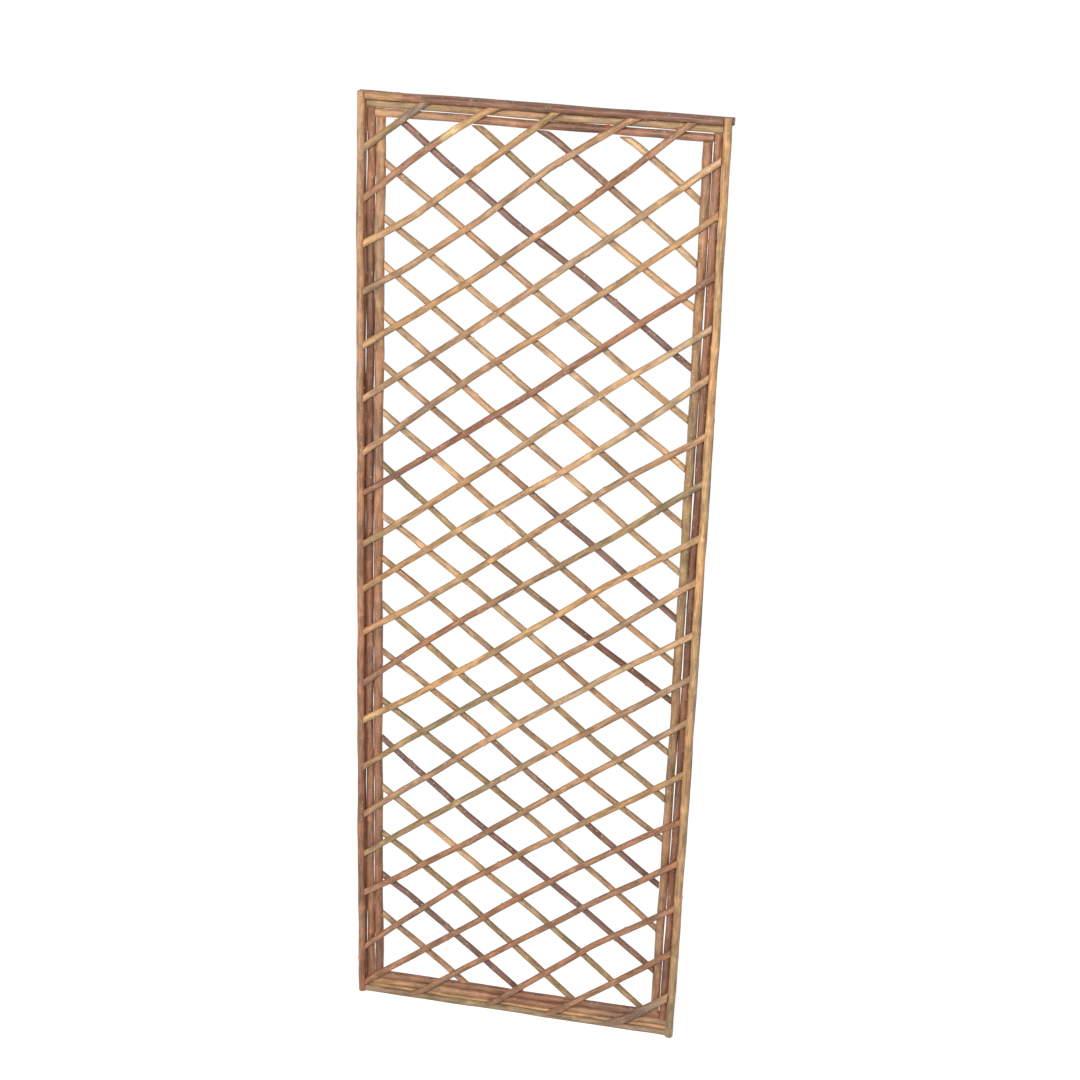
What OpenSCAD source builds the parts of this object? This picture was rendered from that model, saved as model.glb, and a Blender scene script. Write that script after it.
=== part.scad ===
// Framed willow trellis panel: two layers of round willow rods, pinned together.
// The front layer is an outer frame with rods that rise to the right.
// The back layer is three nested frames with rods that fall to the right.
// Origin: middle of the panel, on the ground, where the two layers meet. X across, Y back, Z up.

/* [Panel] */
// Height of the panel, from the cut feet to the tops of the front uprights
panel_h = 1800; // [1600:10:2000]
// Width over the two front uprights, at their feet
panel_w = 630; // [570:5:690]
// How far each side bows outwards at half height
side_bow = 4; // [0:0.5:6]

/* [Frame rods] */
// Thick end of the front uprights
front_upright_d = 12; // [10:0.5:14]
// Thick end of the front rails
front_rail_d = 10.5; // [9:0.5:12]
// Thick end of the outer rods of the back layer
back_outer_d = 13; // [11:0.5:14]
// Thick end of the middle rods of the back layer
middle_d = 13.5; // [11:0.5:15]
// Thick end of the inner rods of the back layer
inner_d = 14; // [11:0.5:15]
// Space between neighbouring rods of the three nested frames
nest_gap = 1.5; // [0.8:0.1:3]
// How far the top back rail runs past its right upright
rail_overrun = 4; // [0:1:10]

/* [Lattice rods] */
// Number of rising rods in the front layer, the corner brace not counted
front_count = 22; // [18:1:22]
// Number of falling rods in the back layer
back_count = 21; // [17:1:21]
// Thick end of the rising rods
front_rod_d = 12.5; // [10:0.5:14]
// Thick end of the falling rods
back_rod_d = 12; // [10:0.5:14]
// Diameter of the short brace across the lower right corner
brace_d = 16; // [12:0.5:18]
// Slope of the lattice rods, in degrees above level
lean = 37.5; // [33:0.5:42]
// Space between a falling rod's cut end and the inner frame
back_end_gap = 3; // [1:0.5:6]

/* [Willow] */
// How much a rod thins along each metre of its length
taper = 1.2; // [0:0.1:2]
// How far a knot stands out of a lattice rod
knot_rise = 0.5; // [0.2:0.1:1]
// Length of the collar of thicker bark at a knot
knot_length = 8; // [5:1:12]

/* [Fit] */
// Space left between the two layers where rods cross
seat_gap = 0.5; // [0.4:0.1:0.8]
// Space left where a rod's cut end meets the side of another
joint_gap = 0.4; // [0.2:0.1:1]

/* [Panel pins] */
// Shank diameter of a pin
pin_d = 1.4; // [1:0.1:2]
// Length of a pin under its head
pin_l = 21; // [18:0.5:22]
// Diameter of a pin's head
pin_head_d = 3; // [2:0.1:4]
// Thickness of a pin's head
pin_head_h = 0.6; // [0.4:0.1:1]
// Number of pins along each front upright
upright_pins = 7; // [4:1:10]
// Number of pins along each front rail
rail_pins = 4; // [2:1:6]

/* [Hidden] */
// Natural unevenness of the lattice, one value for each rod from the top left corner down:
// how far the rod lies above its even place, its extra lean, its bow at mid length (+ is up)
// and its sway (one half bowed down and the other up)
front_shift = [-18, -18, -4, -3, 7, 3, 1, 4, 3, 8, 6, 4, 8, 11, 1, 8, 14, -8, -5, 0, -16, -18, -27];
front_tilt = [1, 0, 0, -1, 0.5, 0.5, 1, -0.5, 0, 0, -1, 0, -1.5, -0.5, -0.5, -0.5, -0.5, 0.5, -0.5, -0.5, 1, 0.5, 1];
front_bow = [0, 7, -8, -2, -12, -5, 1, -5, 1, -4, 1, 5, -2, 0, 11, 3, -6, 16, 10, 4, 8, -1, 0];
front_sway = [0, 0, -3, -6, 0, 0, 3, -1, -3, 5, -5, 5, -5, 4, 0, -1, -3, 4, -3, -1, -2, 0, 0];
// The same for the falling rods, from the top right corner down
back_shift = [4, -9, 2, -5, -5, -4, -3, 0, 3, 9, 15, 7, 10, 15, 11, 6, 13, 2, -12, -3, 3];
back_tilt = [0, 0, -1, -0.5, -0.5, -1, 0.5, 0.5, 0.5, 0.5, -1, -0.5, 0.5, 0, 0.5, 0, 1, 1, 2, 1, 1];
back_bow = [1, 2, -6, -4, -1, 2, 1, -2, 0, -2, -10, 4, 0, -9, 5, 9, -3, 7, 7, 4, 1];
back_sway = [0, 0, 0, -4, 1, 0, -1, -1, -1, 1, -2, 3, 3, 0, 4, 0, -4, -2, 2, 1, 0];
// Room left past the first and the last rod of a layer, in steps of the lattice
front_first = 0.6;
front_last = 1.02;
back_first = 1.05;
back_last = 1.26;

bend_rise = 0.2;         // how far a bend stands out of a frame rod
bends = 5;               // bends along an upright
spare = 9;               // extra length that a rod has before its ends are trimmed
depth = 40;              // more than the depth of the panel
$fn = 48;

// Colours of the bark
OCHRE = "#b98f58";
RUSSET = "#9a6248";
PLUM = "#75503f";
OLIVE = "#93835a";
GREY = "#8b7566";
STEEL = "#b9b4a8";
lattice_colours = [OCHRE, RUSSET, OCHRE, RUSSET, OLIVE, OCHRE, PLUM];

// Places of the frame rods, from the middle line and from the top or the ground
upright_x = (panel_w - front_upright_d) / 2;
middle_x = upright_x - back_outer_d / 2 - nest_gap - middle_d / 2;
inner_x = middle_x - middle_d / 2 - nest_gap - inner_d / 2;
middle_in = back_outer_d + nest_gap + middle_d / 2;
inner_in = middle_in + middle_d / 2 + nest_gap + inner_d / 2;

// The openings that the lattice rods fill
front_reach = upright_x - front_upright_d / 2;
front_floor = front_rail_d;
front_ceiling = panel_h - front_rail_d;
back_reach = inner_x - inner_d / 2 - back_end_gap;
back_floor = inner_in + inner_d / 2 + back_end_gap;
back_ceiling = panel_h - back_floor;

front_top = front_ceiling + front_reach * tan(lean);
front_step = (front_top - front_floor + front_reach * tan(lean)) / (front_count + front_first + front_last);
back_top = back_ceiling + back_reach * tan(lean);
back_step = (back_top - back_floor + back_reach * tan(lean)) / (back_count - 1 + back_first + back_last);

function pick(list, i) = list[i % len(list)];
function two_digits(i) = str(i < 10 ? "0" : "", i);
function front_name(i) = i == front_count ? "corner_brace" : str("front_rod_", two_digits(i + 1));
function back_name(j) = str("back_rod_", two_digits(j + 1));

// The sides bow outwards, so every upright stands this much further out at height z
function side_out(z) = side_bow * 4 * (z / panel_h) * (1 - z / panel_h);

// Half the thickness of a rod whose thick end is d, s along from that end
function half_thick(d, s) = (d - taper * s / 1000) / 2;

// How far a lattice rod lies off its straight line, t being 0 and 1 at its ends
function off_line(t, bow, sway) = (bow * 4 * t * (1 - t) + sway * sin(360 * t)) / cos(lean);

// Rising rods of the front layer: rod i runs from front_x0(i) to front_x1(i)
function front_line(i) = front_top - (front_first + i) * front_step + pick(front_shift, i);
function front_slope(i) = tan(lean + pick(front_tilt, i));
function front_x0(i) = max(-front_reach, (front_floor - front_line(i)) / front_slope(i));
function front_x1(i) = min(front_reach, (front_ceiling - front_line(i)) / front_slope(i));
function front_z(i, x) =
    let (t = (x - front_x0(i)) / (front_x1(i) - front_x0(i)))
    front_line(i) + x * front_slope(i) + off_line(t, pick(front_bow, i), pick(front_sway, i));
function front_half(i, x) =
    let (butt = i % 2 == 0 ? front_x0(i) : front_x1(i))
    half_thick(i == front_count ? brace_d : front_rod_d, abs(x - butt) / cos(lean));

// Falling rods of the back layer: rod j runs from back_x0(j) to back_x1(j)
function back_line(j) = back_top - (back_first + j) * back_step + pick(back_shift, j);
function back_slope(j) = tan(lean + pick(back_tilt, j));
function back_x0(j) = max(-back_reach, (back_line(j) - back_ceiling) / back_slope(j));
function back_x1(j) = min(back_reach, (back_line(j) - back_floor) / back_slope(j));
function back_z(j, x) =
    let (t = (x - back_x0(j)) / (back_x1(j) - back_x0(j)))
    back_line(j) - x * back_slope(j) + off_line(t, pick(back_bow, j), pick(back_sway, j));
function back_half(j, x) =
    let (butt = j % 2 == 0 ? back_x1(j) : back_x0(j))
    half_thick(back_rod_d, abs(x - butt) / cos(lean));

// Where rising rod i crosses falling rod j, found in a few steps, and whether both reach that far
function cross_x(i, j, x = 0, steps = 5) =
    steps == 0 ? x :
    cross_x(i, j, x + (back_z(j, x) - front_z(i, x)) / (front_slope(i) + back_slope(j)), steps - 1);
function reaches(x, x0, x1, room) = x > x0 + room && x < x1 - room;
function crosses(i, j, x) =
    reaches(x, front_x0(i), front_x1(i), front_rod_d) && reaches(x, back_x0(j), back_x1(j), back_rod_d / 2);
function front_crossings(i) =
    [for (j = [back_count - 1 : -1 : 0]) let (x = cross_x(i, j)) if (crosses(i, j, x)) [x, j]];
function back_crossings(j) =
    [for (i = [0 : front_count]) let (x = cross_x(i, j)) if (crosses(i, j, x)) [x, i]];

// Knots stand midway between every second pair of crossings. A short rod, with one such pair,
// has a second knot between its next two crossings, or in the longer of its two end lengths.
function knots(crossings, x0, x1) =
    let (xs = [for (c = crossings) c[0]],
         last = len(xs) - 1,
         pairs = [for (k = [0 : 2 : last - 1]) (xs[k] + xs[k + 1]) / 2])
    len(pairs) != 1 ? pairs
        : last == 2 ? [pairs[0], (xs[1] + xs[2]) / 2]
        : xs[0] - x0 > x1 - xs[1] ? [(x0 + xs[0]) / 2, pairs[0]]
        : [pairs[0], (xs[1] + x1) / 2];

// Pins, as [x, z, y of the bark under the head].
// Each rising rod has one near each end, into the inner frame, and one at every second crossing.
function pin_at(i, x) = [x, front_z(i, x), -(seat_gap / 2 + 2 * front_half(i, x))];
function left_pin_x(i) =
    max(-inner_x - side_out(front_z(i, -inner_x)), (inner_in - front_line(i)) / front_slope(i));
function right_pin_x(i) =
    min(inner_x + side_out(front_z(i, inner_x)), (panel_h - inner_in - front_line(i)) / front_slope(i));
function end_pins(i) = [pin_at(i, left_pin_x(i)), pin_at(i, right_pin_x(i))];
function is_pinned(i, j) = (i + j) % 2 == 0;
function crossing_pins(i) = [for (c = front_crossings(i)) if (is_pinned(i, c[1])) pin_at(i, c[0])];
function pins_into_back_rod(j) = [for (c = back_crossings(j)) if (is_pinned(c[1], j)) pin_at(c[1], c[0])];
all_end_pins = [for (i = [0 : front_count]) each end_pins(i)];
function share(k, count) = (k + 0.5) / count;
function upright_pin(side, k) =
    let (z = panel_h * share(k, upright_pins))
    [side * (upright_x + side_out(z)), z, -(seat_gap / 2 + 2 * half_thick(front_upright_d, z))];
function rail_pin(z, k) =
    let (x = front_reach * (2 * share(k, rail_pins) - 1))
    [x, z, -(seat_gap / 2 + 2 * half_thick(front_rail_d, front_reach))];
function side_pins(side) = [for (k = [0 : upright_pins - 1]) upright_pin(side, k)];
function rail_row(z) = [for (k = [0 : rail_pins - 1]) rail_pin(z, k)];
top_pins = rail_row(panel_h - front_rail_d / 2);
bottom_pins = rail_row(front_rail_d / 2);

// A straight length of rod from a to b
module length_of_rod(a, b, half) {
    v = b - a;
    translate(a)
        rotate([0, acos(v[2] / norm(v)), atan2(v[1], v[0])])
            cylinder(h = norm(v), r = half);
}

// A rod that lies against the plane between the layers, behind it where side is 1 and before it
// where side is -1. Each point is [x, z, half thickness]. At each inner point the rod bends, its
// bark swells by rise in a short collar, and it is a little thinner beyond, as a willow shoot is.
module rod(points, side, rise) {
    centres = [for (p = points) [p[0], side * (seat_gap / 2 + p[2]), p[1]]];
    for (k = [0 : len(points) - 2])
        length_of_rod(centres[k], centres[k + 1], (points[k][2] + points[k + 1][2]) / 2);
    for (k = [1 : 1 : len(points) - 2]) {
        v = centres[k + 1] - centres[k - 1];
        reach = v * knot_length / 2 / norm(v);
        length_of_rod(centres[k] - reach, centres[k] + reach, points[k][2] + rise);
    }
}

// Cuts the children's ends flat along the edges of a box
module trimmed(x0, x1, z0, z1) {
    intersection() {
        children();
        translate([x0, -depth / 2, z0]) cube([x1 - x0, depth, z1 - z0]);
    }
}

// The holes that pins have made
module pin_holes(pins) {
    for (p = pins)
        translate([p[0], p[2] - spare, p[1]])
            rotate([-90, 0, 0]) cylinder(h = spare + pin_l, d = pin_d);
}

// An upright whose foot is at z0 and whose top is at z1
module upright(x_from_middle, side_lr, d, z0, z1, side, flip, pins) {
    heights = [for (k = [0 : bends + 1]) -spare + (panel_h + 2 * spare) * k / (bends + 1)];
    points = [for (z = heights)
        [side_lr * (x_from_middle + side_out(z)), z, half_thick(d, flip ? panel_h - z : z)]];
    near = [for (p = pins) if (abs(abs(p[0]) - x_from_middle) < d && p[0] * side_lr > 0) p];
    difference() {
        trimmed(-panel_w, panel_w, z0, z1) rod(points, side, bend_rise);
        pin_holes(near);
    }
}

// A rail at height z from x0 to x1
module rail(z, d, x0, x1, side, pins) {
    near = [for (p = pins) if (abs(p[1] - z) < d / 2) p];
    half = half_thick(d, (x1 - x0) / 2);
    points = [[x0 - spare, z, half], [x1 + spare, z, half]];
    difference() {
        trimmed(x0, x1, -spare, panel_h + spare) rod(points, side, bend_rise);
        pin_holes(near);
    }
}

module front_upright(side_lr) {
    color(side_lr < 0 ? RUSSET : OCHRE)
        upright(upright_x, side_lr, front_upright_d, 0, panel_h, -1, false, side_pins(side_lr));
}

module front_rail(z, pins, tone) {
    reach = front_reach - joint_gap;
    color(tone) rail(z, front_rail_d, -reach, reach, -1, pins);
}

module back_upright(side_lr) {
    color(RUSSET)
        upright(upright_x, side_lr, back_outer_d, 0, panel_h - back_outer_d - joint_gap, 1, false,
                side_pins(side_lr));
}

module back_rail_top() {
    outer = upright_x + back_outer_d / 2;
    color(RUSSET)
        rail(panel_h - back_outer_d / 2, back_outer_d, -outer, outer + rail_overrun, 1, top_pins);
}

module back_rail_bottom() {
    reach = upright_x - back_outer_d / 2 - joint_gap;
    color(OCHRE) rail(back_outer_d / 2, back_outer_d, -reach, reach, 1, bottom_pins);
}

module middle_upright(side_lr) {
    foot = middle_in + middle_d / 2 + joint_gap;
    color(RUSSET)
        upright(middle_x, side_lr, middle_d, foot, panel_h - foot, 1, side_lr < 0, all_end_pins);
}

module middle_rail(z, tone) {
    reach = upright_x - back_outer_d / 2 - joint_gap;
    color(tone) rail(z, middle_d, -reach, reach, 1, all_end_pins);
}

module inner_upright(side_lr) {
    foot = inner_in + inner_d / 2 + joint_gap;
    color(PLUM)
        upright(inner_x, side_lr, inner_d, foot, panel_h - foot, 1, side_lr > 0, all_end_pins);
}

module inner_rails() {
    reach = middle_x - middle_d / 2 - joint_gap;
    for (z = [inner_in, panel_h - inner_in])
        color(RUSSET) rail(z, inner_d, -reach, reach, 1, all_end_pins);
}

// Rising rod i, its ends cut along the front frame
module front_rod(i) {
    x0 = front_x0(i);
    x1 = front_x1(i);
    past = spare / cos(lean);
    xs = concat([x0 - past], knots(front_crossings(i), x0, x1), [x1 + past]);
    left_edge = front_reach + side_out(front_z(i, x0)) - joint_gap;
    right_edge = front_reach + side_out(front_z(i, x1)) - joint_gap;
    color(i == front_count ? GREY : pick(lattice_colours, i))
        difference() {
            trimmed(-left_edge, right_edge, front_floor + joint_gap, front_ceiling - joint_gap)
                rod([for (x = xs) [x, front_z(i, x), front_half(i, x)]], -1, knot_rise);
            pin_holes(concat(end_pins(i), crossing_pins(i)));
        }
}

// Falling rod j, its ends cut along the inner frame
module back_rod(j) {
    x0 = back_x0(j);
    x1 = back_x1(j);
    past = spare / cos(lean);
    crossings = back_crossings(j);
    ascending = [for (k = [len(crossings) - 1 : -1 : 0]) crossings[k]];
    inner_knots = knots(crossings[0][0] < crossings[len(crossings) - 1][0] ? crossings : ascending, x0, x1);
    xs = concat([x0 - past], inner_knots, [x1 + past]);
    left_edge = back_reach + side_out(back_z(j, x0));
    right_edge = back_reach + side_out(back_z(j, x1));
    color(pick(lattice_colours, j + 2))
        difference() {
            trimmed(-left_edge, right_edge, back_floor, back_ceiling)
                rod([for (x = xs) [x, back_z(j, x), back_half(j, x)]], 1, knot_rise);
            pin_holes(pins_into_back_rod(j));
        }
}

module panel_pin(p) {
    translate([p[0], p[2], p[1]])
        rotate([-90, 0, 0]) {
            cylinder(h = pin_l, d = pin_d);
            translate([0, 0, -pin_head_h]) cylinder(h = pin_head_h, d = pin_head_d);
        }
}

module panel_pins() {
    lattice_pins = [for (i = [0 : front_count]) each crossing_pins(i)];
    frame_pins = concat(side_pins(-1), side_pins(1), top_pins, bottom_pins);
    color(STEEL)
        for (p = concat(all_end_pins, lattice_pins, frame_pins)) panel_pin(p);
}

front_upright(-1);  // front_upright_left
front_upright(1);  // front_upright_right
front_rail(panel_h - front_rail_d / 2, top_pins, RUSSET);  // front_rail_top
front_rail(front_rail_d / 2, bottom_pins, GREY);  // front_rail_bottom
back_upright(-1);  // back_upright_left
back_upright(1);  // back_upright_right
back_rail_top();
back_rail_bottom();
middle_upright(-1);  // middle_upright_left
middle_upright(1);  // middle_upright_right
middle_rail(panel_h - middle_in, OLIVE);  // middle_rail_top
middle_rail(middle_in, OCHRE);  // middle_rail_bottom
inner_upright(-1);  // inner_upright_left
inner_upright(1);  // inner_upright_right
inner_rails();
for (i = [0 : front_count]) front_rod(i);
for (j = [0 : back_count - 1]) back_rod(j);
panel_pins();
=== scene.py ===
import math

import bpy
import numpy as np
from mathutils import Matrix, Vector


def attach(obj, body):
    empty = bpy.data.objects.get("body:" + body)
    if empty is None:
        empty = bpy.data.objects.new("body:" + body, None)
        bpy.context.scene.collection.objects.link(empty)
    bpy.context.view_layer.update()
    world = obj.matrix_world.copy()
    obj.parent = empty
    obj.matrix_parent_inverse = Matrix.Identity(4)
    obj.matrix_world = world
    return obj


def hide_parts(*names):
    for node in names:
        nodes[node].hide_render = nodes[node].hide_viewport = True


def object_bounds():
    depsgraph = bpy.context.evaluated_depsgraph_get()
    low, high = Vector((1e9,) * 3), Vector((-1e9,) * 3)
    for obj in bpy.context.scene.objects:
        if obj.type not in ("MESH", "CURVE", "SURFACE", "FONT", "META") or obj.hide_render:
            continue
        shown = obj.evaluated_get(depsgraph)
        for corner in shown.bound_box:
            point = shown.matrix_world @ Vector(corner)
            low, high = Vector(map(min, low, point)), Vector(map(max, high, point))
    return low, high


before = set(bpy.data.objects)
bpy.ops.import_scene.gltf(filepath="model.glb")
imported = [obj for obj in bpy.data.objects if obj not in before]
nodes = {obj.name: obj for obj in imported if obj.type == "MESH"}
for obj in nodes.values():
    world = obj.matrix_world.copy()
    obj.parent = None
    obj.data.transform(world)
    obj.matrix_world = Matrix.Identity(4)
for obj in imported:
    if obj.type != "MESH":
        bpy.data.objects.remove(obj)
cad_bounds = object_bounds()

# Front uprights: two willow rods, one down each side, in front of everything else.
# Each is one shoot with its bark on, sawn flat at both ends and pinned through to the upright
# behind it. The bark has streaks along it, pale pores, and a bud scar about every 13 cm.
TONES = {
    "gold": (213, 168, 118),
    "ochre": (196, 154, 110),
    "tan": (190, 149, 113),
    "sand": (208, 170, 129),
    "russet": (178, 129, 98),
    "chestnut": (157, 110, 85),
    "umber": (129, 91, 71),
    "plum": (144, 109, 94),
    "olive": (173, 144, 104),
    "ash": (161, 136, 114),
    "rust": (199, 114, 64),
    "bare": (224, 190, 138),
}


class Num:
    """A number in a node tree, so that sums are written as sums."""

    def __init__(self, tree, socket):
        self.tree = tree
        self.socket = socket

    def math(self, operation, *others):
        made = self.tree.nodes.new("ShaderNodeMath")
        made.operation = operation
        for place, value in enumerate((self, *others)):
            if isinstance(value, Num):
                self.tree.links.new(value.socket, made.inputs[place])
            else:
                made.inputs[place].default_value = value
        return Num(self.tree, made.outputs[0])

    def __add__(self, other):
        return self.math("ADD", other)

    def __sub__(self, other):
        return self.math("SUBTRACT", other)

    def __mul__(self, other):
        return self.math("MULTIPLY", other)

    def __truediv__(self, other):
        return self.math("DIVIDE", other)

    def between(self, low, high):
        """0 below low, 1 above high, and a smooth step from one to the other."""
        made = self.tree.nodes.new("ShaderNodeMapRange")
        made.interpolation_type = "SMOOTHSTEP"
        self.tree.links.new(self.socket, made.inputs["Value"])
        made.inputs["From Min"].default_value = low
        made.inputs["From Max"].default_value = high
        return Num(self.tree, made.outputs["Result"])


class Tree:
    """A node tree. node() makes any node, sets its properties and fills its inputs."""

    def __init__(self, tree):
        self.tree = tree

    def node(self, kind, inputs=None, **properties):
        made = self.tree.nodes.new(kind)
        for key, value in properties.items():
            setattr(made, key, value)
        for key, value in (inputs or {}).items():
            value = value.socket if isinstance(value, Num) else value
            if isinstance(value, bpy.types.NodeSocket):
                self.tree.links.new(value, made.inputs[key])
            else:
                made.inputs[key].default_value = value
        return made

    def num(self, *arguments, output=0, **properties):
        return Num(self.tree, self.node(*arguments, **properties).outputs[output])

    def vector(self, operation, *values, output=0):
        inputs = {("Scale" if operation == "SCALE" and k else k): v for k, v in enumerate(values)}
        return self.node("ShaderNodeVectorMath", inputs, operation=operation).outputs[output]

    def mix(self, factor, first, second):
        inputs = {0: factor, 6: first, 7: second}
        return self.node("ShaderNodeMix", inputs, data_type="RGBA").outputs[2]


def linear(rgb):
    """A colour given as three values from 0 to 255, as linear light with alpha."""
    parts = [c / 255 for c in rgb]
    lit = [c / 12.92 if c <= 0.04045 else ((c + 0.055) / 1.055) ** 2.4 for c in parts]
    return (*lit, 1.0)


def new_material(name):
    material = bpy.data.materials.new(name)
    material.use_nodes = True
    return material, Tree(material.node_tree), material.node_tree.nodes["Principled BSDF"]


def bark(name, roughness, pores, furrows):
    """Bark whose tone rides on the rod. It is laid out by the way round and along the rod."""
    material, t, shader = new_material(name)
    place = t.node("ShaderNodeAttribute", attribute_name="bark").outputs["Vector"]
    tint = t.node("ShaderNodeAttribute", attribute_name="tint").outputs["Color"]
    drawn_out = t.vector("MULTIPLY", place, (1, 1, 0.06))
    streak = t.num("ShaderNodeTexNoise", {"Vector": drawn_out, "Scale": 520, "Detail": 4, "Roughness": 0.62})
    patch_at = t.vector("MULTIPLY", place, (1, 1, 0.3))
    patch = t.num("ShaderNodeTexNoise", {"Vector": patch_at, "Scale": 90, "Detail": 3, "Roughness": 0.6})
    crust = t.num("ShaderNodeTexNoise", {"Vector": place, "Scale": 420, "Detail": 5, "Roughness": 0.7})
    level = streak.between(0.3, 0.7) * 0.6 + patch.between(0.34, 0.68) * 0.56 + 0.45
    colour = t.vector("SCALE", tint, level.socket)
    worn = patch.between(0.55, 0.72) * streak.between(0.45, 0.7) * 0.55
    colour = t.mix(worn, colour, t.vector("MULTIPLY", tint, (1.4, 1.35, 1.2)))
    cells = {"Vector": t.vector("MULTIPLY", place, (1, 1, 0.6)), "Scale": 210}
    cell = t.node("ShaderNodeTexVoronoi", cells)
    chance = t.node("ShaderNodeSeparateColor", {"Color": cell.outputs["Color"]}).outputs["Red"]
    pore = Num(t.tree, cell.outputs["Distance"]).between(0.34, 0.14) * Num(t.tree, chance).between(0.6, 0.75)
    colour = t.mix(pore * pores, colour, linear((236, 204, 158)))
    dark = crust.between(0.56, 0.68) * patch.between(0.62, 0.4)
    colour = t.mix(dark * (0.5 + furrows), colour, linear((70, 44, 34)))
    t.tree.links.new(colour, shader.inputs["Base Color"])
    rough = streak * 0.16 + patch * 0.12 + (roughness - 0.14)
    t.tree.links.new(rough.socket, shader.inputs["Roughness"])
    height = streak * (0.6 + furrows) + crust * (0.3 + furrows) + pore * 0.7
    bump = {"Height": height, "Strength": 0.55, "Distance": 0.0005}
    t.tree.links.new(t.node("ShaderNodeBump", bump).outputs["Normal"], shader.inputs["Normal"])
    shader.inputs["Specular IOR Level"].default_value = 0.4
    return material


def end_grain(name):
    """Sawn or torn willow wood: pale, with faint rings and a brown edge under the bark."""
    material, t, shader = new_material(name)
    place = t.node("ShaderNodeAttribute", attribute_name="bark").outputs["Vector"]
    flat = t.vector("MULTIPLY", place, (1, 1, 0))
    out = Num(t.tree, t.vector("LENGTH", flat, output=1))
    grain = t.num("ShaderNodeTexNoise", {"Vector": place, "Scale": 900, "Detail": 4, "Roughness": 0.6})
    ring = ((out * 5200) + grain * 3.0).math("SINE") * 0.5 + 0.5
    colour = t.mix(ring * 0.4, linear((236, 202, 150)), linear((206, 160, 106)))
    colour = t.mix(grain.between(0.5, 0.75) * 0.5, colour, linear((170, 122, 80)))
    t.tree.links.new(colour, shader.inputs["Base Color"])
    t.tree.links.new((grain * 0.2 + 0.62).socket, shader.inputs["Roughness"])
    bump = {"Height": grain, "Strength": 0.4, "Distance": 0.0004}
    t.tree.links.new(t.node("ShaderNodeBump", bump).outputs["Normal"], shader.inputs["Normal"])
    return material


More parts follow.
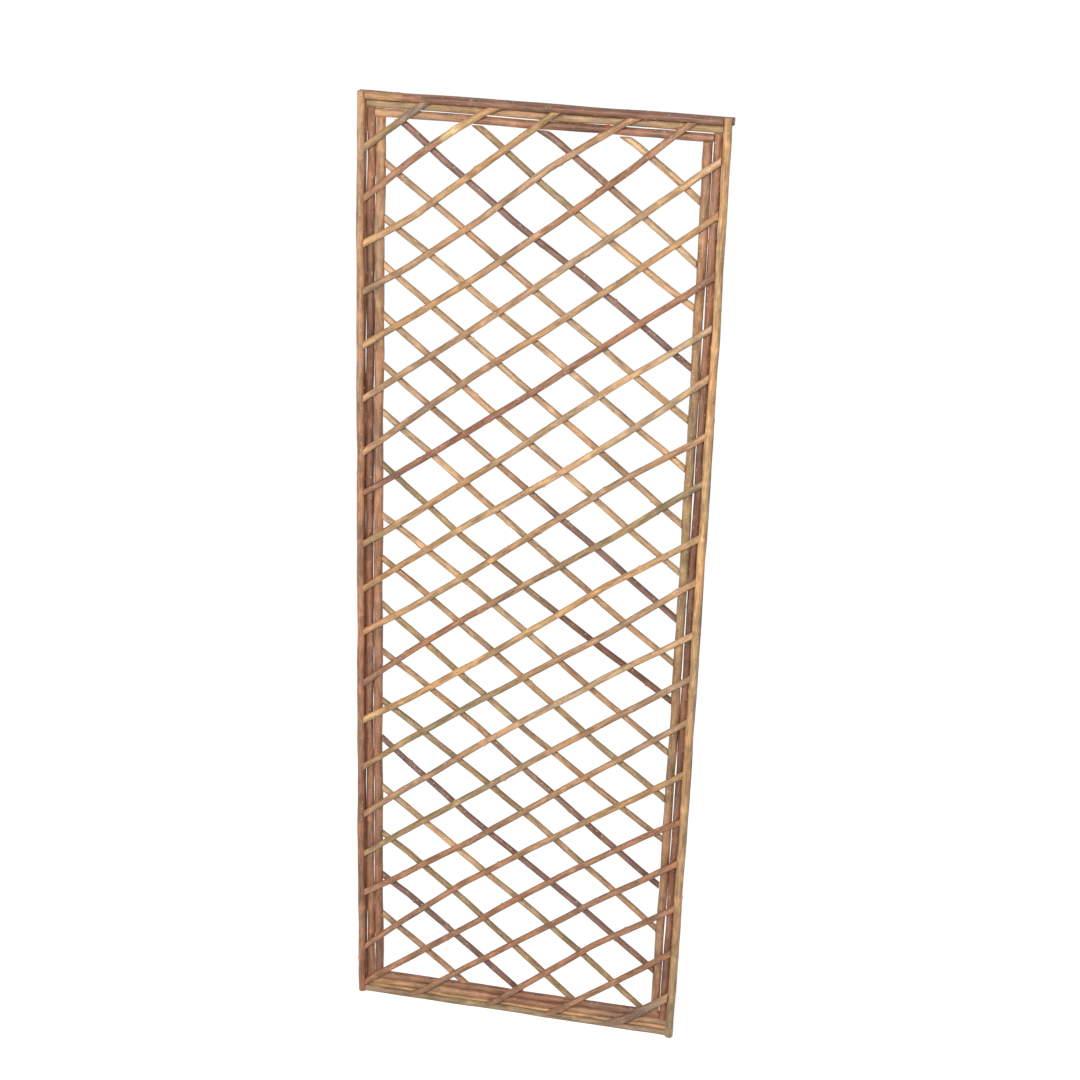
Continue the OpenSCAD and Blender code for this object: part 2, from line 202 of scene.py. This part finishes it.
def rod_tree():
    """Sweeps a rod along its middle line, dents and swells it, cuts its ends and sets its buds."""
    group = bpy.data.node_groups.new("willow_rod", "GeometryNodeTree")
    group.interface.new_socket("Geometry", in_out="INPUT", socket_type="NodeSocketGeometry")
    for label, kind in (("Sides", "Int"), ("Dents", "Float"), ("Bud Height", "Float")):
        group.interface.new_socket(label, in_out="INPUT", socket_type="NodeSocket" + kind)
    for label, kind in (("Stub Size", "Float"), ("Seed", "Int"), ("Bark", "Material"), ("Cut", "Material")):
        group.interface.new_socket(label, in_out="INPUT", socket_type="NodeSocket" + kind)
    group.interface.new_socket("Geometry", in_out="OUTPUT", socket_type="NodeSocketGeometry")
    t = Tree(group)
    given = t.node("NodeGroupInput").outputs

    def read(name, kind="FLOAT"):
        made = t.node("GeometryNodeInputNamedAttribute", {"Name": name}, data_type=kind)
        return made.outputs["Attribute"]

    def store(geometry, name, value, kind="FLOAT", domain="POINT"):
        inputs = {"Geometry": geometry, "Name": name, "Value": value}
        made = t.node("GeometryNodeStoreNamedAttribute", inputs, data_type=kind, domain=domain)
        return made.outputs["Geometry"]

    line = t.node("GeometryNodeMeshToCurve", {"Mesh": given["Geometry"]}).outputs[0]
    here = t.node("GeometryNodeInputPosition").outputs[0]
    line = store(line, "centre", here, "FLOAT_VECTOR")
    line = store(line, "along", t.node("GeometryNodeInputTangent").outputs[0], "FLOAT_VECTOR")
    circle = {"Resolution": given["Sides"], "Radius": 1.0}
    ring = t.node("GeometryNodeCurvePrimitiveCircle", circle).outputs[0]
    part = t.node("ShaderNodeSeparateXYZ", {0: here}).outputs
    ring = store(ring, "turn", Num(group, part[1]).math("ARCTAN2", Num(group, part[0])))
    swept = {"Curve": line, "Profile Curve": ring, "Scale": read("half"), "Fill Caps": True}
    solid = t.node("GeometryNodeCurveToMesh", swept).outputs[0]

    half = Num(group, read("half"))
    turn = Num(group, read("turn"))
    side = turn.math("COSINE") * half
    front = turn.math("SINE") * half
    run = Num(group, read("run"))
    place = t.node("ShaderNodeCombineXYZ", {0: side, 1: front, 2: run * 0.3}).outputs[0]
    shifted = t.vector("ADD", place, t.node("ShaderNodeCombineXYZ", {0: given["Seed"]}).outputs[0])
    hollow = t.num("ShaderNodeTexNoise", {"Vector": shifted, "Scale": 190, "Detail": 3, "Roughness": 0.55})
    facing = (turn - Num(group, read("bud_turn"))).math("COSINE").math("MAXIMUM", 0.0).math("POWER", 5.0)
    swell = Num(group, read("bud")) * Num(group, given["Bud Height"])
    grown = swell * (facing + 0.35) / half - hollow * Num(group, given["Dents"]) + 1.0
    offset = t.vector("SUBTRACT", here, read("centre", "FLOAT_VECTOR"))
    offset = t.vector("SCALE", offset, grown.socket)
    cut = read("cut", "FLOAT_VECTOR")
    along = read("along", "FLOAT_VECTOR")
    over = Num(group, t.vector("DOT_PRODUCT", offset, cut, output=1))
    steep = Num(group, t.vector("DOT_PRODUCT", along, cut, output=1))
    slide = over / steep * Num(group, read("shear")) * -1.0
    moved = t.vector("ADD", read("centre", "FLOAT_VECTOR"), offset)
    moved = t.vector("ADD", moved, t.vector("SCALE", along, slide.socket))
    bark_place = t.node("ShaderNodeCombineXYZ", {0: side, 1: front, 2: run + slide}).outputs[0]
    solid = store(solid, "bark", bark_place, "FLOAT_VECTOR")
    solid = t.node("GeometryNodeSetPosition", {"Geometry": solid, "Position": moved}).outputs[0]
    corners = Num(group, t.node("GeometryNodeInputMeshFaceNeighbors").outputs["Vertex Count"])
    is_cap = corners.math("GREATER_THAN", 4.5)
    solid = store(solid, "is_cut", is_cap, "BOOLEAN", "FACE")

    on_bud = (turn - Num(group, read("bud_turn"))).math("COSINE").math("GREATER_THAN", 0.985)
    on_bud = on_bud * Num(group, read("peak"))
    cone = {"Vertices": 10, "Side Segments": 2, "Radius Top": 0.55, "Radius Bottom": 1.0, "Depth": 1.3}
    stub = t.node("GeometryNodeMeshCone", cone)
    stub = store(stub.outputs["Mesh"], "is_cut", stub.outputs["Top"], "BOOLEAN", "FACE")
    stub = t.node("GeometryNodeTransform", {"Geometry": stub, "Translation": (0, 0, -0.45)}).outputs[0]
    upward = {"Vector": t.node("GeometryNodeInputNormal").outputs[0]}
    upward = t.node("FunctionNodeAlignRotationToVector", upward, axis="Z").outputs[0]
    chance = {2: 0.45, 3: 1.0, "Seed": given["Seed"]}
    share = t.num("FunctionNodeRandomValue", chance, data_type="FLOAT", output=1)
    size = share * Num(group, given["Stub Size"])
    placed = {"Points": solid, "Selection": on_bud, "Instance": stub, "Rotation": upward, "Scale": size}
    stubs = t.node("GeometryNodeInstanceOnPoints", placed).outputs[0]

    both = t.node("GeometryNodeJoinGeometry")
    group.links.new(stubs, both.inputs[0])
    group.links.new(solid, both.inputs[0])
    whole = t.node("GeometryNodeRealizeInstances", {"Geometry": both.outputs[0]}).outputs[0]
    round_side = Num(group, read("is_cut", "BOOLEAN")).math("LESS_THAN", 0.5)
    whole = t.node("GeometryNodeSetShadeSmooth", {"Geometry": whole, "Shade Smooth": round_side}).outputs[0]
    whole = t.node("GeometryNodeSetMaterial", {"Geometry": whole, "Material": given["Bark"]}).outputs[0]
    ends = {"Geometry": whole, "Selection": read("is_cut", "BOOLEAN"), "Material": given["Cut"]}
    whole = t.node("GeometryNodeSetMaterial", ends).outputs[0]
    group.links.new(whole, t.node("NodeGroupOutput").inputs[0])
    return group


def read_rod(name, axis, low=-1.0, high=9.0):
    """Middle line, half thickness and end planes of a CAD rod, read at even steps along one axis."""
    mesh = nodes[name].data
    spots = np.array([v.co for v in mesh.vertices])
    edges = np.array([e.vertices[:] for e in mesh.edges])
    edges = edges[(spots[edges[:, 0], 2] > low) & (spots[edges[:, 0], 2] < high)]
    a = spots[edges[:, 0]]
    b = spots[edges[:, 1]]
    lowest = np.minimum(a, b).min(0)
    highest = np.maximum(a, b).max(0)
    middles = []
    halves = []
    slant = 0.016
    step = 0.004
    for place in np.arange(lowest[axis] + slant, highest[axis] - slant, step):
        across = (a[:, axis] - place) * (b[:, axis] - place) < 0
        share = (place - a[across, axis]) / (b[across, axis] - a[across, axis])
        section = a[across] + (b[across] - a[across]) * share[:, None]
        middles.append((section.min(0) + section.max(0)) / 2)
        halves.append(np.ptp(section[:, 1]) / 2)
    ends = []
    for end, inner in ((middles[0], middles[3]), (middles[-1], middles[-4])):
        out = (end - inner) / np.linalg.norm(end - inner)
        limit = np.where(out > 0, highest, lowest)
        reach = [(limit[k] - end[k]) / out[k] if abs(out[k]) > 0.3 else 9.0 for k in (0, 2)]
        ends.append((end + out * min(reach), (0, 2)[int(np.argmin(reach))]))
    points = np.array([ends[0][0], *middles, ends[1][0]])
    halves = np.array([halves[0], *halves, halves[-1]])
    return points, halves, (ends[0][1], ends[1][1])


def even(points, values, step):
    """A line, and values on it, at even steps, with its kinks rounded over a few steps."""
    run = np.concatenate([[0], np.cumsum(np.linalg.norm(np.diff(points, axis=0), axis=1))])
    count = max(12, int(run[-1] / step) + 1)
    at = np.linspace(0, run[-1], count)
    wide = np.pad(values, 3, mode="edge")
    values = np.array([np.median(wide[k : k + 7]) for k in range(len(values))])
    new = np.stack([np.interp(at, run, points[:, k]) for k in range(3)], 1)
    for _ in range(3):
        new[1:-1] = (new[:-2] + 2 * new[1:-1] + new[2:]) / 4
    return at, new, np.interp(at, run, values)


def grow(
    name, source, axis, tones, material, seed, part=(-1, 9), bud_gap=0.13, stub=0.0017, girth=None, aside=0
):
    """A rod of the CAD model grown into a willow shoot, as a plain mesh of its own.

    tones are pairs of a share of its length and a name in TONES, and part is the span of heights
    that is read. girth is its thickness at its two ends, where that is more than the CAD rod's,
    and aside moves it outwards.
    """
    step = 0.0045
    bud_length = 0.0045
    calm_end = 0.04
    chance = np.random.default_rng(seed)
    points, halves, cuts = read_rod(source, axis, *part)
    run, points, half = even(points, halves, step)
    total = run[-1]
    if girth:
        half = np.interp(run, [0, total], np.array(girth) / 2)
    across = 2 - axis
    if aside:
        points[:, across] += aside * np.sign(points[:, across] - OUTER_BOX.mean(0)[across])
    for k in (1, across):
        points[:, k] = np.clip(points[:, k], OUTER_BOX[0][k] + half, OUTER_BOX[1][k] - half)
    ahead = np.gradient(points, axis=0)
    ahead /= np.linalg.norm(ahead, axis=1)[:, None]
    sideways = np.stack([-ahead[:, 2], 0 * run, ahead[:, 0]], 1)
    calm = np.clip(np.minimum(run, total - run) / calm_end, 0, 1)
    for length in (0.31, 0.17, 0.09):
        phase = chance.uniform(0, 6.28, 3)
        wave = np.sin(run * 6.28 / length + phase[0]) * calm * length * 0.0016
        points += sideways * wave[:, None]
        points[:, 1] += np.sin(run * 6.28 / length + phase[1]) * calm * length * 0.0005
        half = half * (1.005 + 0.012 * np.sin(run * 6.28 / length + phase[2]))
    buds = np.cumsum(chance.uniform(0.6, 1.4, int(total / bud_gap) + 2)) * bud_gap - bud_gap / 2
    buds = buds[(buds > 0.02) & (buds < total - 0.02)]
    bud = sum((np.exp(-(((run - b) / bud_length) ** 2)) for b in buds), run * 0)
    turns = np.array([2.4 * k for k in range(len(buds))]) + chance.uniform(0, 6.28)
    peak = run * 0
    bud_turn = run * 0
    if len(buds):
        nearest = np.abs(run[:, None] - buds[None, :]).argmin(1)
        bud_turn = turns[nearest]
        peak[np.abs(run[:, None] - buds[None, :]).argmin(0)] = 1.0
    stops = [linear(TONES[tone])[:3] for _, tone in tones]
    shares = [share for share, _ in tones]
    tint = np.stack([np.interp(run / total, shares, [s[k] for s in stops]) for k in range(3)], 1)
    level = 1 + 0.07 * np.sin(run * 6.28 / 0.23 + chance.uniform(0, 6)) + 0.04 * np.sin(run * 6.28 / 0.07)
    level *= 1 + 0.25 * bud
    warmth = 1 + 0.05 * np.sin(run * 6.28 / 0.37 + chance.uniform(0, 6))
    tint = tint * level[:, None] * np.stack([warmth, 0 * run + 1, 1 / warmth], 1)
    cut = np.zeros((len(run), 3))
    first_half = run < total / 2
    cut[first_half, cuts[0]] = 1
    cut[~first_half, cuts[1]] = 1
    shear = np.clip(1 - np.minimum(run, total - run) / (3.2 * half), 0, 1)

    mesh = bpy.data.meshes.new(name)
    mesh.from_pydata(points.tolist(), [(k, k + 1) for k in range(len(run) - 1)], [])
    columns = {"half": half, "run": run + seed * 0.37, "bud": bud, "bud_turn": bud_turn}
    columns.update({"peak": peak, "shear": shear})
    for label, values in columns.items():
        mesh.attributes.new(label, "FLOAT", "POINT").data.foreach_set("value", np.array(values, float))
    mesh.attributes.new("cut", "FLOAT_VECTOR", "POINT").data.foreach_set("vector", cut.ravel())
    rgba = np.concatenate([tint, np.ones((len(run), 1))], 1)
    mesh.attributes.new("tint", "FLOAT_COLOR", "POINT").data.foreach_set("color", rgba.ravel())
    rod = bpy.data.objects.new(name, mesh)
    bpy.context.scene.collection.objects.link(rod)
    modifier = rod.modifiers.new("sweep", "NODES")
    modifier.node_group = WILLOW_ROD
    sockets = {s.name: s.identifier for s in WILLOW_ROD.interface.items_tree if s.in_out == "INPUT"}
    settings = {"Sides": 20, "Dents": 0.045, "Bud Height": 0.0006, "Stub Size": stub}
    settings.update({"Seed": seed, "Bark": material, "Cut": CUT_WOOD})
    for label, value in settings.items():
        modifier[sockets[label]] = value
    return rod


def harvest(rods):
    """Turns the swept rods into plain meshes, with only what their materials read."""
    depsgraph = bpy.context.evaluated_depsgraph_get()
    meshes = [bpy.data.meshes.new_from_object(r.evaluated_get(depsgraph), depsgraph=depsgraph) for r in rods]
    for rod, mesh in zip(rods, meshes):
        rod.modifiers.clear()
        rod.data = mesh
        while mesh.materials[0] is None:
            mesh.materials.pop(index=0)
        for label in [a.name for a in mesh.attributes]:
            if label in READ_ONCE:
                mesh.attributes.remove(mesh.attributes[label])
        spots = np.empty(len(mesh.vertices) * 3)
        mesh.vertices.foreach_get("co", spots)
        spots = np.clip(spots.reshape(-1, 3), OUTER_BOX[0], OUTER_BOX[1])
        mesh.vertices.foreach_set("co", spots.ravel())


def stand_for(rod, node):
    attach(rod, "root")
    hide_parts(node)


OUTER_BOX = np.array([list(corner) for corner in cad_bounds])
READ_ONCE = ("half", "run", "bud", "bud_turn", "peak", "shear", "cut", "centre", "along", "turn", "is_cut")
WILLOW_ROD = rod_tree()
CUT_WOOD = end_grain("willow_end_grain")
BARKS = {
    "bark_ochre": bark("willow_bark_ochre", 0.46, 0.75, 0.0),
    "bark_russet": bark("willow_bark_russet", 0.44, 0.6, 0.05),
}
front_uprights = {
    "front_upright_left": (
        ("bark_russet", 0.0141, 0.0139),
        ((0, "russet"), (0.25, "chestnut"), (0.5, "russet"), (1, "tan")),
    ),
    "front_upright_right": (
        ("bark_ochre", 0.0158, 0.0136),
        ((0, "olive"), (0.2, "ochre"), (0.5, "gold"), (1, "gold")),
    ),
}
front_sides = []
for k, (node, ((slot, *girth), tones)) in enumerate(front_uprights.items()):
    front_sides.append(grow("shoot_" + node, node, 2, tones, BARKS[slot], 11 + k, girth=girth, aside=0.001))
harvest(front_sides)
for rod, (node, ((slot, *_), _)) in zip(front_sides, front_uprights.items()):
    stand_for(rod, node)

# Front rails: two thinner shoots between the front uprights, at the very top and bottom.
# Each is pinned through to the back rail behind it. The bottom one has weathered grey.
BARKS["bark_grey"] = bark("willow_bark_grey", 0.62, 0.55, 0.35)
front_rails = {
    "front_rail_top": (
        "bark_russet",
        ((0, "ochre"), (0.08, "ochre"), (0.12, "chestnut"), (0.6, "umber"), (1, "chestnut")),
    ),
    "front_rail_bottom": ("bark_grey", ((0, "ash"), (0.4, "olive"), (0.8, "ash"), (1, "tan"))),
}
front_bars = []
for k, (node, (slot, tones)) in enumerate(front_rails.items()):
    front_bars.append(grow("shoot_" + node, node, 0, tones, BARKS[slot], 21 + k, girth=(0.0128, 0.0122)))
harvest(front_bars)
for rod, (node, (slot, _)) in zip(front_bars, front_rails.items()):
    stand_for(rod, node)

# Back frame: three frames of thick shoots, one inside the next, all butt jointed at the corners.
# The lattice is pinned to the inner one. White light shows through between their rods.
BARKS["bark_olive"] = bark("willow_bark_olive", 0.5, 0.7, 0.08)
BARKS["bark_plum"] = bark("willow_bark_plum", 0.42, 0.6, 0.05)
back_frame = {
    "back_upright_left": (2, "bark_russet", 0.0138, ((0, "chestnut"), (1, "russet"))),
    "back_upright_right": (2, "bark_russet", 0.0138, ((0, "umber"), (1, "chestnut"))),
    "back_rail_top": (0, "bark_russet", 0.0138, ((0, "chestnut"), (1, "umber"))),
    "back_rail_bottom": (0, "bark_ochre", 0.0138, ((0, "ochre"), (1, "gold"))),
    "middle_upright_left": (
        2,
        "bark_russet",
        0.0148,
        ((0, "russet"), (0.5, "chestnut"), (0.8, "umber"), (1, "russet")),
    ),
    "middle_upright_right": (2, "bark_russet", 0.0150, ((0, "chestnut"), (0.6, "umber"), (1, "russet"))),
    "middle_rail_top": (0, "bark_olive", 0.0147, ((0, "olive"), (0.5, "tan"), (1, "olive"))),
    "middle_rail_bottom": (0, "bark_ochre", 0.0145, ((0, "ochre"), (0.5, "russet"), (1, "tan"))),
    "inner_upright_left": (2, "bark_plum", 0.0170, ((0, "chestnut"), (0.5, "russet"), (1, "tan"))),
    "inner_upright_right": (2, "bark_plum", 0.0166, ((0, "russet"), (0.6, "olive"), (1, "russet"))),
}
outwards = {"middle_upright": 0.0002, "middle_rail": 0.0007, "inner_upright": -0.0014}
back_bars = []
for k, (node, (axis, slot, girth, tones)) in enumerate(back_frame.items()):
    outward = outwards.get(node.rsplit("_", 1)[0], 0)
    looks = {"stub": 0.0009, "girth": (girth, girth), "aside": outward}
    back_bars.append(grow("shoot_" + node, node, axis, tones, BARKS[slot], 31 + k, **looks))
harvest(back_bars)
for rod, (node, (_, slot, _, _)) in zip(back_bars, back_frame.items()):
    stand_for(rod, node)

# Inner rails: the top and bottom shoots of the inner frame, made as one pair.
# The top one has a torn orange spot where its bark was knocked.
inner_rails = {
    "shoot_inner_rail_top": (
        (0.9, 9),
        ((0, "tan"), (0.3, "russet"), (0.68, "umber"), (0.71, "rust"), (0.74, "chestnut"), (1, "russet")),
    ),
    "shoot_inner_rail_bottom": ((-1, 0.9), ((0, "russet"), (0.3, "chestnut"), (1, "chestnut"))),
}
inner_bars = []
for k, (name, (part, tones)) in enumerate(inner_rails.items()):
    looks = {"stub": 0.0009, "girth": (0.0145, 0.0145)}
    inner_bars.append(grow(name, "inner_rails", 0, tones, BARKS["bark_russet"], 51 + k, part, **looks))
harvest(inner_bars)
for rod in inner_bars:
    stand_for(rod, "inner_rails")

# Rising rods: the front layer of the lattice, cut to the front frame and pinned at every second
# crossing. Each is written as its tone at its foot and at its head, and the second lost some bark.
RISING = (
    "olive-ash russet-russet ochre-ochre tan-tan ochre-russet tan-sand tan-ochre chestnut-russet "
    "ochre-sand ochre-sand ochre-tan russet-olive gold-gold olive-tan tan-sand olive-tan russet-tan "
    "russet-ochre russet-russet russet-russet russet-russet russet-russet"
)
LATTICE_SLOTS = ["bark_" + kind for kind in ("ochre", "russet", "ochre", "russet", "olive", "ochre", "plum")]
rising_rods = []
for i, pair in enumerate(RISING.split()):
    foot, head = pair.split("-")
    tones = [(0, foot), (0.35, foot), (0.65, head), (1, head)]
    if i == 1:
        tones = [(0, foot), (0.6, foot), (0.63, "bare"), (0.72, "bare"), (0.75, "gold"), (1, "ochre")]
    node = f"front_rod_{i + 1:02d}"
    slot = LATTICE_SLOTS[i % 7]
    rising_rods.append(grow("shoot_" + node, node, 0, tones, BARKS[slot], 61 + i))
harvest(rising_rods)
for i, rod in enumerate(rising_rods):
    stand_for(rod, f"front_rod_{i + 1:02d}")

# Corner brace: a thick old shoot across the bottom right corner, with rough grey bark.
# It stiffens the corner and is pinned to the frame at both ends.
brace_tones = ((0, "ash"), (0.4, "plum"), (0.7, "ash"), (1, "tan"))
brace = grow("shoot_corner_brace", "corner_brace", 0, brace_tones, BARKS["bark_grey"], 91, bud_gap=0.05)
harvest([brace])
stand_for(brace, "corner_brace")

# Falling rods: the back layer of the lattice, cut just inside the inner frame. They carry the
# rising rods and are a little thinner. Each is written as its tone at its head and at its foot.
FALLING = (
    "sand-sand plum-sand olive-sand plum-plum tan-sand sand-sand sand-tan tan-sand tan-plum sand-tan "
    "olive-umber sand-tan tan-olive olive-tan tan-plum olive-tan plum-plum sand-olive olive-olive "
    "plum-plum tan-tan"
)
falling_rods = []
for j, pair in enumerate(FALLING.split()):
    head, foot = pair.split("-")
    tones = [(0, head), (0.3, head), (0.7, foot), (1, foot)]
    node = f"back_rod_{j + 1:02d}"
    falling_rods.append(grow("shoot_" + node, node, 0, tones, BARKS[LATTICE_SLOTS[(j + 2) % 7]], 101 + j))
harvest(falling_rods)
for j, rod in enumerate(falling_rods):
    stand_for(rod, f"back_rod_{j + 1:02d}")

# Panel pins: small steel nails through the rods, with flat round heads.
# They are the CAD model's own, in a steel that the weather has dulled and browned.
steel, t, shader = new_material("pin_steel")
spot = t.node("ShaderNodeTexCoord").outputs["Object"]
haze = t.num("ShaderNodeTexNoise", {"Vector": spot, "Scale": 900, "Detail": 2})
t.tree.links.new((haze * 0.3 + 0.4).socket, shader.inputs["Roughness"])
shader.inputs["Metallic"].default_value = 1.0
shader.inputs["Base Color"].default_value = (0.36, 0.3, 0.25, 1)
nodes["panel_pins"].data.materials.clear()
nodes["panel_pins"].data.materials.append(steel)

# Ground and backdrop: a plain white floor, which is as white as the sky behind it.
# Both glow only for what the camera sees, so they put little light on the panel.
FLOOR_GLOW = 0.86
SKY_LIGHT = 0.2


def seen(t):
    """1 on the way to the camera, straight or by reflection, and 0 on the way to the panel."""
    path = t.node("ShaderNodeLightPath").outputs
    straight = Num(t.tree, path["Is Camera Ray"])
    reflected = straight.math("MAXIMUM", Num(t.tree, path["Is Glossy Ray"]))
    return reflected.math("MAXIMUM", Num(t.tree, path["Is Transmission Ray"]))


bpy.ops.mesh.primitive_plane_add(size=60, location=(0, 0, 0))
floor = bpy.context.object
floor.name = "floor"
white, t, shader = new_material("floor_white")
shader.inputs["Base Color"].default_value = (0.6, 0.6, 0.6, 1)
shader.inputs["Roughness"].default_value = 0.9
shader.inputs["Emission Color"].default_value = (1, 1, 1, 1)
t.tree.links.new((seen(t) * FLOOR_GLOW).socket, shader.inputs["Emission Strength"])
floor.data.materials.append(white)

world = bpy.data.worlds.new("world")
bpy.context.scene.world = world
world.use_nodes = True
t = Tree(world.node_tree)
sky = world.node_tree.nodes["Background"]
sky.inputs["Color"].default_value = (1, 1, 1, 1)
t.tree.links.new((seen(t) * (1 - SKY_LIGHT) + SKY_LIGHT).socket, sky.inputs["Strength"])

# Lamps and camera: one broad lamp near the camera and a weaker one from the left.
# The camera looks down on the panel from its right.
for label, energy, size, place, turn in (
    ("key", 150, 1.1, (0.2, -4.2, 3.3), (60, 0, 3)),
    ("side", 22, 2.0, (-3.2, -2.6, 2.4), (68, 0, -50)),
):
    lamp = bpy.data.lights.new(label, "AREA")
    lamp.energy = energy
    lamp.size = size
    holder = bpy.data.objects.new(label, lamp)
    holder.location = place
    holder.rotation_euler = [math.radians(a) for a in turn]
    bpy.context.scene.collection.objects.link(holder)
lens = bpy.data.cameras.new("camera")
lens.sensor_width = 36
lens.lens = 72.75
camera = bpy.data.objects.new("camera", lens)
camera.location = (0.714, -3.529, 2.564)
camera.rotation_euler = [math.radians(a) for a in (66.71, -1.76, 11.88)]
bpy.context.scene.collection.objects.link(camera)
bpy.context.scene.camera = camera
bpy.context.scene.view_settings.view_transform = "Standard"
